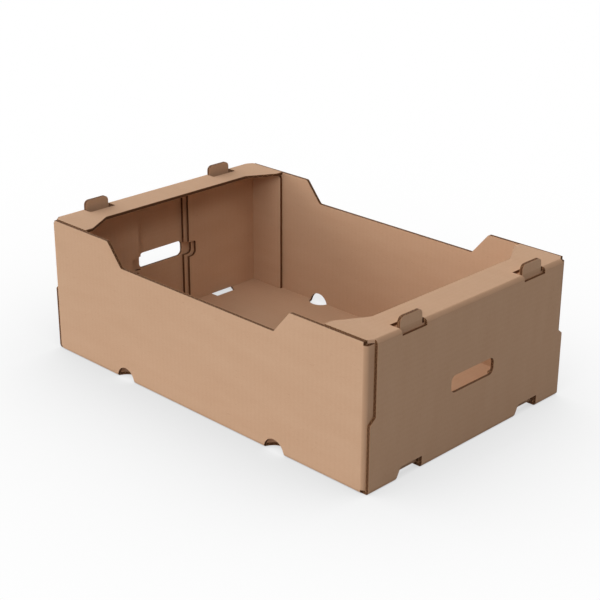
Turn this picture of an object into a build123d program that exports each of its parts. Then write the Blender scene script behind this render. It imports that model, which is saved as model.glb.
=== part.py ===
"""Cardboard produce tray: one die-cut, folded sheet of corrugated board with four glued corner liners.

Millimetres, +Z up. The origin is the middle of the footprint, on the surface that the tray stands on. X runs along
the tray and Y across it, and the front long wall is at -Y.

Each panel of the sheet is drawn from the outside line of its folds and given the board's thickness. One quarter of
the tray is made and mirrored twice, and what differs from side to side is cut or added after that.
"""

import os

from build123d import *

# Board: its thickness, the inside radius of an upright or ledge fold, the outside radius of the floor's harder
# creased folds, and the clearance where two layers are glued
board = 4.5
fold_inner = 1.1
floor_fold_outer = 4.5
glue_line = 0.2

# Outside of the tray. The height is that of the ledges, and the long walls' raised ends stay a little lower.
tray_length = 600.0
tray_width = 386.0
tray_height = 196.8
wall_drop = 1.1

# Lowered middle of each long wall: height of its edge, half lengths at that edge and at the top, corner radius
dip_height = 163.7
dip_low_half = 145.2
dip_top_half = 172.2
dip_corner = 5.0

# Outer end panel: how far its side edges stay inside the tray's width, below and above the sloped step in them,
# and the two heights of that step
end_lower_inset = 3.4
end_upper_inset = 13.2
step_low = 91.0
step_high = 99.0

# Ledge, from the end panel's outer face: depth in the middle and beside the long walls, how far inside the tray's
# width the slope between the two starts and ends, the radius of its corners, and the cut at its two outer corners
ledge_middle_depth = 50.7
ledge_side_depth = 75.1
ledge_slope_start_inset = 59.5
ledge_slope_end_inset = 17.0
ledge_corner = 4.0
ledge_outer_cut = 5.5

# Dust flap: how far its free edge stays from the tray's middle, and the finger notch in that edge
flap_free = 42.4
flap_notch_depth = 14.0
flap_notch_low = 81.3
flap_notch_radius = 7.0
notch_high = 101.8
notch_top_radius = 3.0

# Hand hole in each outer end panel
hand_hole_length = 84.0
hand_hole_low = 81.1
hand_hole_high = 104.7
hand_hole_radius = 8.0

# Stacking tabs on the top edge of the dust flaps, and the slots that they stand in
tab_centre = 117.0
tab_width = 39.6
tab_height = 13.6
tab_corner = 7.0
slot_clear = 0.5
slot_play = 4.0
slot_depth = 8.0
slot_reach = 20.0

# Receptacles for the tabs of a tray below, cut across the fold of floor and end panel. One side of each slopes,
# up the end panel and in along the floor, and the other side is square.
receptacle_half = 24.0
receptacle_rise = 16.0
receptacle_reach = 27.0
receptacle_end_slope = 8.5
receptacle_floor_slope = 12.0
receptacle_headroom = 2.0

# Vent holes, round in the flat sheet and centred on the fold of floor and long wall
vent_place = 145.0
vent_radius = 17.5

# Corner liner: free edge and finger notch of its end leg, and the round top corner of its wall leg
liner_free = 49.0
liner_notch_depth = 13.0
liner_notch_low = 77.8
liner_notch_radius = 8.0
liner_corner = 6.0

# Length by which every cut runs past what it cuts
overrun = 10.0

# Places worked out from the sizes above
fold_outer = fold_inner + board
half_length = tray_length / 2
half_width = tray_width / 2
end_inside = half_length - board
wall_inside = half_width - board
flap_outside = end_inside - glue_line
flap_inside = flap_outside - board
between_layers = end_inside - glue_line / 2
liner_outside = flap_inside - glue_line
liner_inside = liner_outside - board
wall_height = tray_height - wall_drop
end_lower_half = half_width - end_lower_inset
end_upper_half = half_width - end_upper_inset
ledge_half = wall_inside - glue_line
ledge_slope_start = half_width - ledge_slope_start_inset
ledge_slope_end = half_width - ledge_slope_end_inset
wall_end = flap_outside - fold_outer
flap_bottom = fold_outer
flap_top = tray_height - fold_outer
liner_bottom = board + glue_line
ledge_middle = half_length - ledge_middle_depth
ledge_side = half_length - ledge_side_depth
tab_half = tab_width / 2
tab_centres = (-tab_centre, tab_centre)


def finger_notch(inside, free_edge, depth, low, low_radius):
    """Sketch the finger notch in the upright free edge of a flap whose inner face is at X = inside."""
    with BuildSketch(Plane.YZ.offset(inside - glue_line / 2)) as notch:
        with Locations((free_edge - overrun, low)):
            Rectangle(depth + overrun, notch_high - low, align=(Align.MIN, Align.MIN))
        fillet(notch.vertices().group_by(Axis.X)[-1].sort_by(Axis.Y)[0], low_radius)
        fillet(notch.vertices().group_by(Axis.X)[-1].sort_by(Axis.Y)[-1], notch_top_radius)
    return notch.sketch


with BuildPart() as tray_body:
    # Floor and long wall, one quarter, folded up along X
    with BuildSketch(Plane.YZ):
        with BuildLine():
            outside = FilletPolyline((0, 0), (half_width, 0), (half_width, wall_height), radius=floor_fold_outer)
            offset(outside, amount=board, side=Side.LEFT)
        make_face()
    extrude(amount=wall_end)

    # Outer end panel, folded up from the floor and rolled over at the top into the ledge
    with BuildSketch(Plane.XZ):
        with BuildLine():
            outside = FilletPolyline(
                (ledge_side, 0),
                (half_length, 0),
                (half_length, tray_height),
                (ledge_side, tray_height),
                radius=fold_outer,
            )
            offset(outside, amount=board, side=Side.LEFT)
        make_face()
    extrude(amount=-ledge_half)

    # Lower part of that end panel, which also covers the end of the long wall
    with BuildSketch(Plane.XZ):
        with BuildLine():
            outside = FilletPolyline(
                (wall_end, 0), (half_length, 0), (half_length, step_high), radius=floor_fold_outer
            )
            offset(outside, amount=board, side=Side.LEFT)
        make_face()
    extrude(amount=-end_lower_half)

    # Dust flap, folded round the upright corner from the long wall to the back of the end panel
    with BuildSketch(Plane.XY.offset(flap_bottom)):
        with BuildLine():
            outside = FilletPolyline(
                (wall_end - fold_outer, half_width),
                (flap_outside, half_width),
                (flap_outside, flap_free),
                radius=fold_outer,
            )
            offset(outside, amount=board, side=Side.RIGHT)
        make_face()
    extrude(amount=flap_top - flap_bottom)
    notch = finger_notch(flap_inside, flap_free, flap_notch_depth, flap_notch_low, flap_notch_radius)
    extrude(notch, amount=board + glue_line, mode=Mode.SUBTRACT)

    # Lowered middle of the long wall
    with BuildSketch(Plane.XZ.offset(-half_width)):
        with BuildLine():
            edge = FilletPolyline(
                (-overrun, dip_height),
                (dip_low_half, dip_height),
                (dip_top_half, wall_height),
                (dip_top_half + overrun, wall_height),
                radius=dip_corner,
            )
            Polyline(
                edge @ 1,
                (dip_top_half + overrun, tray_height + overrun),
                (-overrun, tray_height + overrun),
                edge @ 0,
            )
        make_face()
    extrude(amount=board + overrun, both=True, mode=Mode.SUBTRACT)

    # Inner edge of the ledge, deeper beside the long wall
    with BuildSketch(Plane.XY.offset(tray_height)):
        with BuildLine():
            edge = FilletPolyline(
                (ledge_middle, -overrun),
                (ledge_middle, ledge_slope_start),
                (ledge_side, ledge_slope_end),
                (ledge_side, ledge_slope_end + overrun),
                radius=ledge_corner,
            )
            Polyline(
                edge @ 1,
                (ledge_side - overrun, ledge_slope_end + overrun),
                (ledge_side - overrun, -overrun),
                edge @ 0,
            )
        make_face()
    extrude(amount=overrun, both=True, mode=Mode.SUBTRACT)

    # Stepped side edge of the outer end panel
    with BuildSketch(Plane.YZ.offset(between_layers)):
        with BuildLine():
            Polyline(
                (end_upper_half, tray_height + overrun),
                (end_upper_half, step_high),
                (end_lower_half, step_low),
                (half_width + overrun, step_low),
                (half_width + overrun, tray_height + overrun),
                close=True,
            )
        make_face()
    extrude(amount=board + overrun, mode=Mode.SUBTRACT)

    # Outer corner of the ledge, cut back to that side edge
    with BuildSketch(Plane.XY.offset(flap_top)):
        with BuildLine():
            Polyline(
                (between_layers, end_upper_half),
                (between_layers - ledge_outer_cut, ledge_half + glue_line / 2),
                (between_layers, ledge_half + glue_line / 2),
                close=True,
            )
        make_face()
    extrude(amount=fold_outer + overrun, mode=Mode.SUBTRACT)

    # Vent hole, half in the wall and half in the floor
    with BuildSketch(Plane.XZ.offset(-half_width)):
        with Locations((vent_place, 0)):
            Circle(vent_radius)
    extrude(amount=fold_outer, both=True, mode=Mode.SUBTRACT)
    with BuildSketch(Plane.XY):
        with Locations((vent_place, half_width)):
            Circle(vent_radius)
    extrude(amount=board, both=True, mode=Mode.SUBTRACT)

    mirror(about=Plane.YZ)
    mirror(about=Plane.XZ)

    for end in (-1, 1):
        end_panel = Plane.YZ.offset(end * between_layers)

        # Hand hole
        with BuildSketch(end_panel):
            with Locations((0, (hand_hole_low + hand_hole_high) / 2)):
                RectangleRounded(hand_hole_length, hand_hole_high - hand_hole_low, hand_hole_radius)
        extrude(amount=end * (board + overrun), mode=Mode.SUBTRACT)

        for centre in tab_centres:
            slot_low = centre - tab_half - slot_clear
            slot_width = tab_width + slot_clear + slot_play

            # Slot for the stacking tab, first its part in the end panel, then its part in the ledge
            with BuildSketch(end_panel):
                with Locations((slot_low, tray_height - slot_depth)):
                    Rectangle(slot_width, slot_depth + overrun, align=(Align.MIN, Align.MIN))
            extrude(amount=end * (board + overrun), mode=Mode.SUBTRACT)
            with BuildSketch(Plane.XY.offset(flap_top)):
                with Locations((end * (half_length - slot_reach / 2), slot_low)):
                    Rectangle(slot_reach, slot_width, align=(Align.CENTER, Align.MIN))
            extrude(amount=fold_outer + overrun, mode=Mode.SUBTRACT)

            # Stacking tab, standing up from the dust flap through that slot
            with BuildSketch(Plane.YZ.offset(end * flap_inside)):
                with Locations((centre, tray_height + tab_height)):
                    Rectangle(tab_width, tab_height + fold_outer + overrun, align=(Align.CENTER, Align.MAX))
                fillet(vertices().group_by(Axis.Y)[-1], tab_corner)
            extrude(amount=end * board)

            # Receptacle, first its part in the end panel, then in the floor, then in the dust flap
            sloped_side = centre - end * receptacle_half
            plain_side = centre + end * receptacle_half
            with BuildSketch(end_panel):
                with BuildLine():
                    Polyline(
                        (sloped_side, -overrun),
                        (sloped_side, 0),
                        (sloped_side + end * receptacle_end_slope, receptacle_rise),
                        (plain_side, receptacle_rise),
                        (plain_side, -overrun),
                        close=True,
                    )
                make_face()
            extrude(amount=end * (board + overrun), mode=Mode.SUBTRACT)
            with BuildSketch(Plane.XY.offset(flap_bottom)):
                with BuildLine():
                    Polyline(
                        (end * between_layers, sloped_side),
                        (end * (half_length - receptacle_reach), sloped_side + end * receptacle_floor_slope),
                        (end * (half_length - receptacle_reach), plain_side),
                        (end * between_layers, plain_side),
                        close=True,
                    )
                make_face()
            extrude(amount=-flap_bottom - overrun, mode=Mode.SUBTRACT)
            with BuildSketch(Plane.YZ.offset(end * (flap_inside - glue_line / 2))):
                with Locations((centre, board + glue_line)):
                    Rectangle(
                        2 * receptacle_half,
                        tab_height + receptacle_headroom - board - glue_line,
                        align=(Align.CENTER, Align.MIN),
                    )
            extrude(amount=end * (board + glue_line), mode=Mode.SUBTRACT)

with BuildPart() as corner_liner:
    # Two legs and the upright fold between them, at the back right corner
    with BuildSketch(Plane.XY.offset(liner_bottom)):
        with BuildLine():
            outside = FilletPolyline(
                (ledge_side, ledge_half),
                (liner_outside, ledge_half),
                (liner_outside, liner_free),
                radius=fold_outer,
            )
            offset(outside, amount=board, side=Side.RIGHT)
        make_face()
    extrude(amount=flap_top - liner_bottom)
    notch = finger_notch(liner_inside, liner_free, liner_notch_depth, liner_notch_low, liner_notch_radius)
    extrude(notch, amount=board + glue_line, mode=Mode.SUBTRACT)
    fillet(edges().filter_by(Axis.Y).group_by(Axis.X)[0].sort_by(Axis.Z)[-1], liner_corner)

os.makedirs("parts", exist_ok=True)
tray_body.part.label = "tray_body"
export_step(tray_body.part, "parts/tray_body.step")

for wall_name, wall_side in (("front", -1), ("back", 1)):
    for end_name, end_side in (("left", -1), ("right", 1)):
        with BuildPart() as liner_in_place:
            placed = corner_liner.part
            if end_side < 0:
                placed = placed.mirror(Plane.YZ)
            if wall_side < 0:
                placed = placed.mirror(Plane.XZ)
            add(placed)
        liner_in_place.part.label = f"corner_liner_{wall_name}_{end_name}"
        export_step(liner_in_place.part, f"parts/corner_liner_{wall_name}_{end_name}.step")
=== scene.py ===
"""Cardboard produce tray: its paper and cut edges, the pale floor, the studio light and the camera."""

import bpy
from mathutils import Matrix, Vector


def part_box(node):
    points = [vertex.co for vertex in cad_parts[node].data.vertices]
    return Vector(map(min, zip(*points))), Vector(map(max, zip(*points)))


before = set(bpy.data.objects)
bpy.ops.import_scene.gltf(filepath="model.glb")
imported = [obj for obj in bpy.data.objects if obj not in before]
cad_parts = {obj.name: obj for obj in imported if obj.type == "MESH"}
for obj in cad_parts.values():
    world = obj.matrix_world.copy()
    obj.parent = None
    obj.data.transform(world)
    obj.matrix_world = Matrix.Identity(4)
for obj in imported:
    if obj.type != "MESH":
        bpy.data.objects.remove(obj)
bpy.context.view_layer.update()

import math

import bpy
from mathutils import Matrix, Vector

# Tray body: one sheet of brown single-wall board, die-cut, creased and folded up from the floor. Its
# corrugations run across the tray, so they stand upright in the long walls and the dust flaps. The knife
# leaves every edge open, with the wave of the middle sheet between the two faces, and the hollows between
# them carry painted shade.


class Signal:
    """One output of a shader node. Sums of signals add Math nodes to the same tree."""

    def __init__(self, tree, socket=None):
        self.tree = tree
        self.socket = socket

    def node(self, kind, settings=None, sockets=None, output=0):
        """Add a node, set it up, feed its sockets with values or signals, and give back one output."""
        added = self.tree.nodes.new(kind)
        for name, value in (settings or {}).items():
            setattr(added, name, value)
        for name, value in (sockets or {}).items():
            if isinstance(value, Signal):
                self.tree.links.new(value.socket, added.inputs[name])
            else:
                added.inputs[name].default_value = value
        return Signal(self.tree, added.outputs[output] if added.outputs else None)

    def maths(self, operation, first, second=0.0):
        return self.node("ShaderNodeMath", {"operation": operation}, {0: first, 1: second})

    def __add__(self, other):
        return self.maths("ADD", self, other)

    def __radd__(self, other):
        return self.maths("ADD", other, self)

    def __sub__(self, other):
        return self.maths("SUBTRACT", self, other)

    def __rsub__(self, other):
        return self.maths("SUBTRACT", other, self)

    def __mul__(self, other):
        return self.maths("MULTIPLY", self, other)

    def __rmul__(self, other):
        return self.maths("MULTIPLY", other, self)

    def __truediv__(self, other):
        return self.maths("DIVIDE", self, other)

    def __lt__(self, other):
        return self.maths("LESS_THAN", self, other)

    def __gt__(self, other):
        return self.maths("GREATER_THAN", self, other)

    def __or__(self, other):
        return self.maths("MAXIMUM", self, other)

    def __abs__(self):
        return self.maths("ABSOLUTE", self)

    def sine(self):
        return self.maths("SINE", self)

    def cosine(self):
        return self.maths("COSINE", self)

    def root(self):
        return self.maths("SQRT", self)

    def parts(self):
        """Split a vector into its three numbers."""
        split = self.node("ShaderNodeSeparateXYZ", sockets={0: self}).socket.node
        return [Signal(self.tree, socket) for socket in split.outputs]

    def noise(self, scale, detail):
        """Noise over this vector, with its scale in turns per metre."""
        return self.node("ShaderNodeTexNoise", sockets={"Vector": self, "Scale": scale, "Detail": detail})

    def between(self, low, high):
        """Blend two numbers, with this signal as the share of the second."""
        return low + (high - low) * self

    def mix(self, low, high):
        """Blend two colours, with this signal as the share of the second."""
        return self.node("ShaderNodeMix", {"data_type": "RGBA"}, {0: self, 6: low, 7: high}, output=2)


def empty_tree(owner):
    """Switch on a material's or world's nodes, clear them, and give back a signal to add nodes with."""
    owner.use_nodes = True
    owner.node_tree.nodes.clear()
    return Signal(owner.node_tree)


def linear(red, green, blue):
    """Turn a colour written in 0 to 255 screen values into the linear colour that shaders take."""
    shares = [value / 255 for value in (red, green, blue)]
    return [share / 12.92 if share <= 0.04045 else ((share + 0.055) / 1.055) ** 2.4
            for share in shares] + [1.0]


mm = 0.001
board = 4.5 * mm
face_sheet = 0.32 * mm
wave_sheet = 0.30 * mm
wave_pitch = 7.6 * mm
wave_rise = board / 2 - face_sheet
paper_pale = linear(204, 167, 137)
paper_deep = linear(196, 157, 126)
paper_fleck = linear(150, 108, 76)
crease_brown = linear(178, 137, 106)
cut_sheet = linear(170, 125, 88)
# Painted shade: the dark brown painted into the flute hollows of a cut edge
painted_hollow_shade = linear(88, 57, 34)

# A point belongs to a layer within this reach of its middle. A face of it is paper, not a cut, if its
# normal has at least so much of the layer's axis. A face runs round a fold if its normal has less than so
# much of the fold's axis.
layer_reach = board * 0.52
paper_lean = 0.7
fold_lean = 0.02

# Which side of a limit counts
beyond, below = 1, -1


def board_material(name, layers, folds):
    """Make the board's material: paper on its layers' faces and round its folds, an open cut elsewhere.

    A layer is (axis across it, its middle, axis along which its waves follow each other, limits). A fold
    is (its axis, limits). A limit is (axis, beyond or below, place), with places taken from the tray's
    middle.
    """
    material = bpy.data.materials.new(name)
    start = empty_tree(material)
    point = start.node("ShaderNodeTexCoord", output="Object")
    x, y, z = point.parts()
    signed = {"x": x, "y": y, "z": z}
    places = {"x": abs(x), "y": abs(y), "z": z}
    facing = start.node("ShaderNodeNewGeometry", output="True Normal").parts()
    towards = {axis: abs(part) for axis, part in zip("xyz", facing)}

    def inside(limits):
        mask = 1.0
        for axis, side, limit in limits:
            mask = (places[axis] > limit if side == beyond else places[axis] < limit) * mask
        return mask

    # Which layer a point lies in, how far from that layer's middle, and where along its waves
    paper, depth, along = 0.0, 0.0, signed["x"]
    for axis, middle, wave_axis, limits in layers:
        from_middle = places[axis] - middle
        in_layer = (abs(from_middle) < layer_reach) * inside(limits)
        paper = in_layer * (towards[axis] > paper_lean) | paper
        depth = in_layer.between(depth, from_middle)
        along = in_layer.between(along, signed[wave_axis])
    crease = 0.0
    for axis, limits in folds:
        crease = (towards[axis] < fold_lean) * inside(limits) | crease
    paper = paper | crease

    # Cut edge: two face sheets and the wave between them, with painted shade in the hollows
    turn = along * (2 * math.pi / wave_pitch)
    steepness = turn.cosine() * (wave_rise * 2 * math.pi / wave_pitch)
    from_wave = abs(depth - turn.sine() * wave_rise) / (1.0 + steepness * steepness).root()
    sheet = (from_wave < wave_sheet / 2) | (abs(depth) > board / 2 - face_sheet)
    fray = point.noise(900.0, 2.0)
    fray_least, fray_range = 0.55, 0.9
    # The face sheets and the wave keep the paper's colour, and the hollows between them get painted shade
    cut = (sheet * (fray_least + fray * fray_range)).mix(painted_hollow_shade, cut_sheet)

    # Paper: fibres drawn out along the machine's run, clouds from the pulp, a few dark flecks, faint
    # wave lines, and wear round the creases
    fibre_stretch = 0.22
    across = x + y + z - along
    lie = start.node("ShaderNodeCombineXYZ", sockets={0: along * fibre_stretch, 1: across, 2: depth})
    fibre = lie.noise(1500.0, 4.0)
    cloud = lie.noise(38.0, 3.0)
    fleck = lie.noise(620.0, 1.0)
    ridge = turn.sine() * 0.5 + 0.5
    fibre_tone, cloud_tone, ridge_tone, middle_tone = 1.3, 0.9, 0.12, 0.44
    fleck_threshold, fleck_share = 0.76, 0.2
    wear_least, wear_range = 0.1, 0.4
    tone = (fibre - 0.5) * fibre_tone + (cloud - 0.5) * cloud_tone + ridge * ridge_tone + middle_tone
    surface = tone.mix(paper_deep, paper_pale)
    surface = ((fleck > fleck_threshold) * fleck_share).mix(surface, paper_fleck)
    surface = (crease * (wear_least + fibre * wear_range)).mix(surface, crease_brown)

    # Relief, as shares of a millimetre, and the dull finish of bare paper
    fibre_relief, ridge_relief, sheet_relief = 0.035, 0.05, 0.5
    roughness_least, roughness_range = 0.80, 0.14
    relief = (fibre * fibre_relief + ridge * ridge_relief) * paper + (sheet * sheet_relief) * (1.0 - paper)
    bump = start.node("ShaderNodeBump", sockets={"Strength": 0.6, "Distance": mm, "Height": relief})
    start.node("ShaderNodeOutputMaterial", sockets={0: start.node("ShaderNodeBsdfPrincipled", sockets={
        "Base Color": paper.mix(cut, surface),
        "Roughness": roughness_least + fibre * roughness_range,
        "Specular IOR Level": 0.22,
        "Normal": bump,
    })})
    return material


def cover(node, material):
    """Put one material on all of a node's faces."""
    for slot in node.material_slots:
        slot.material = material


half_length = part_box("tray_body")[1][0]
half_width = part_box("tray_body")[1][1]
ledge_top = 196.8 * mm
glue_line = 0.2 * mm
bend = 5.6 * mm
floor_bend = 4.5 * mm

# Keeps a limit clear of the face beside it
hair = 0.1 * mm

flap_outside = half_length - board - glue_line
wall_end = flap_outside - bend
ledge_end = half_width - board - hair
cover(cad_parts["tray_body"], board_material(
    "kraft_board",
    [
        # Floor, long walls, ledges, end panels and dust flaps
        ("z", board / 2, "x", []),
        ("y", half_width - board / 2, "x", [("x", below, wall_end + hair)]),
        ("z", ledge_top - board / 2, "x", [("y", below, ledge_end)]),
        ("x", half_length - board / 2, "z", []),
        ("x", flap_outside - board / 2, "y", [("z", beyond, board + glue_line / 2)]),
    ],
    [
        # Floor to long wall, floor to end panel, end panel to ledge, long wall to dust flap
        ("x", [("y", beyond, half_width - floor_bend), ("z", below, floor_bend),
               ("x", below, wall_end + hair)]),
        ("y", [("x", beyond, half_length - bend), ("z", below, bend)]),
        ("y", [("x", beyond, half_length - bend), ("z", beyond, ledge_top - bend + hair / 2),
               ("z", below, ledge_top + hair), ("y", below, ledge_end)]),
        ("z", [("x", beyond, wall_end + hair), ("x", below, flap_outside + hair / 2),
               ("y", beyond, half_width - bend), ("z", beyond, bend - hair),
               ("z", below, ledge_top - bend + hair)]),
    ],
))

# Corner liners: four L-shaped strips of the same board, creased once and glued into the corners, with one
# leg on the long wall and one on the dust flap. Each has a finger notch beside the hand hole.
liner_end = flap_outside - board - glue_line
liner_side = half_width - board - glue_line
liner_board = board_material(
    "liner_board",
    [
        ("y", liner_side - board / 2, "x", [("x", below, liner_end - bend + hair)]),
        ("x", liner_end - board / 2, "y", [("y", below, liner_side - bend + hair)]),
    ],
    [("z", [("x", beyond, liner_end - bend), ("y", beyond, liner_side - bend)])],
)
for name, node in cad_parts.items():
    if name.startswith("corner_liner"):
        cover(node, liner_board)

# Floor: the studio's plain pale sheet, which shows white to the camera and in reflections and keeps the
# soft shadow round the tray. Towards everything else it gives back light as a matt pale sheet does.
reach = 30.0
white = (1, 1, 1, 1)
sheet_grey = (0.45, 0.45, 0.45, 1)
deepest_shadow = (0.54, 0.54, 0.54, 1)
shadow_spread = 2.0


def seen_pale(start):
    """Share of rays that find the floor or the room white: the camera's, reflections' and those in glass."""
    return (start.node("ShaderNodeLightPath", output="Is Camera Ray")
            | start.node("ShaderNodeLightPath", output="Is Glossy Ray")
            | start.node("ShaderNodeLightPath", output="Is Transmission Ray"))


floor_mesh = bpy.data.meshes.new("floor")
floor_mesh.from_pydata(
    [(-reach, -reach, 0), (reach, -reach, 0), (reach, reach, 0), (-reach, reach, 0)], [], [(0, 1, 2, 3)])
floor = bpy.data.objects.new("floor", floor_mesh)
bpy.context.scene.collection.objects.link(floor)
floor_sheet = bpy.data.materials.new("studio_floor")
start = empty_tree(floor_sheet)
open_sky = start.node("ShaderNodeAmbientOcclusion", {"samples": 32}, {"Distance": shadow_spread},
                      output="AO")
start.node("ShaderNodeOutputMaterial", sockets={0: start.node("ShaderNodeMixShader", sockets={
    0: seen_pale(start),
    1: start.node("ShaderNodeBsdfDiffuse", sockets={"Color": sheet_grey}),
    2: start.node("ShaderNodeEmission", sockets={
        "Color": open_sky.mix(deepest_shadow, white),
        "Strength": 1.0,
    }),
})})
floor_mesh.materials.append(floor_sheet)

# Studio light: an even white room, three wide lamps, low in front of the tray, high in front of it and at
# its left, and two narrow ones from the right that give the shadow under the left ledge its edge. They
# also light the pale floor, which throws some of their light back up at the walls.
sky = 0.155
world = bpy.data.worlds.new("studio")
bpy.context.scene.world = world
start = empty_tree(world)
start.node("ShaderNodeOutputWorld", sockets={0: start.node("ShaderNodeMixShader", sockets={
    0: seen_pale(start),
    1: start.node("ShaderNodeBackground", sockets={"Color": white, "Strength": sky}),
    2: start.node("ShaderNodeBackground", sockets={"Color": white, "Strength": 1.0}),
})})
# Azimuth and elevation say where a lamp stands. They and its width are in degrees, and a power of 1 shows
# a surface that faces it at its own colour
for name, azimuth, elevation, power, width in (
    ("front_lamp", 262, 0, 0.53, 60),
    ("high_lamp", 284, 60, 0.29, 60),
    ("left_lamp", 187, 12, 1.15, 60),
    ("key_lamp", 300, 28, 0.10, 14),
    ("side_lamp", 14, 49, 0.06, 14),
):
    lamp = bpy.data.lights.new(name, "SUN")
    lamp.energy = power * math.pi
    lamp.angle = math.radians(width)
    stand = bpy.data.objects.new(name, lamp)
    bpy.context.scene.collection.objects.link(stand)
    turn, lift = math.radians(azimuth), math.radians(elevation)
    beam = Vector((-math.cos(turn) * math.cos(lift), -math.sin(turn) * math.cos(lift), -math.sin(lift)))
    stand.rotation_euler = beam.to_track_quat("-Z", "Y").to_euler()

# Camera: a normal lens at the photograph's place, in front of the tray's right end and above it. Its
# focal length was measured in pixels of the 600 pixel wide picture.
picture_width = 600
focal_pixels = 1404.54
sensor_width = 36
eye = Vector((1.2467, -1.2669, 0.8435))
yaw, pitch, roll = math.radians(134.542), math.radians(22.563), math.radians(0.228)
forward = Vector((math.cos(yaw) * math.cos(pitch), math.sin(yaw) * math.cos(pitch), -math.sin(pitch)))
right = Vector((math.sin(yaw), -math.cos(yaw), 0))
up = right.cross(forward)
turned_right = right * math.cos(roll) + up * math.sin(roll)
turned_up = up * math.cos(roll) - right * math.sin(roll)
lens = bpy.data.cameras.new("camera")
lens.sensor_width = sensor_width
lens.lens = focal_pixels / picture_width * sensor_width
lens.clip_end = 200
camera = bpy.data.objects.new("camera", lens)
bpy.context.scene.collection.objects.link(camera)
aim = Matrix((turned_right, turned_up, -forward)).transposed().to_4x4()
camera.matrix_world = Matrix.Translation(eye) @ aim
bpy.context.scene.camera = camera
bpy.context.scene.view_settings.view_transform = "Standard"
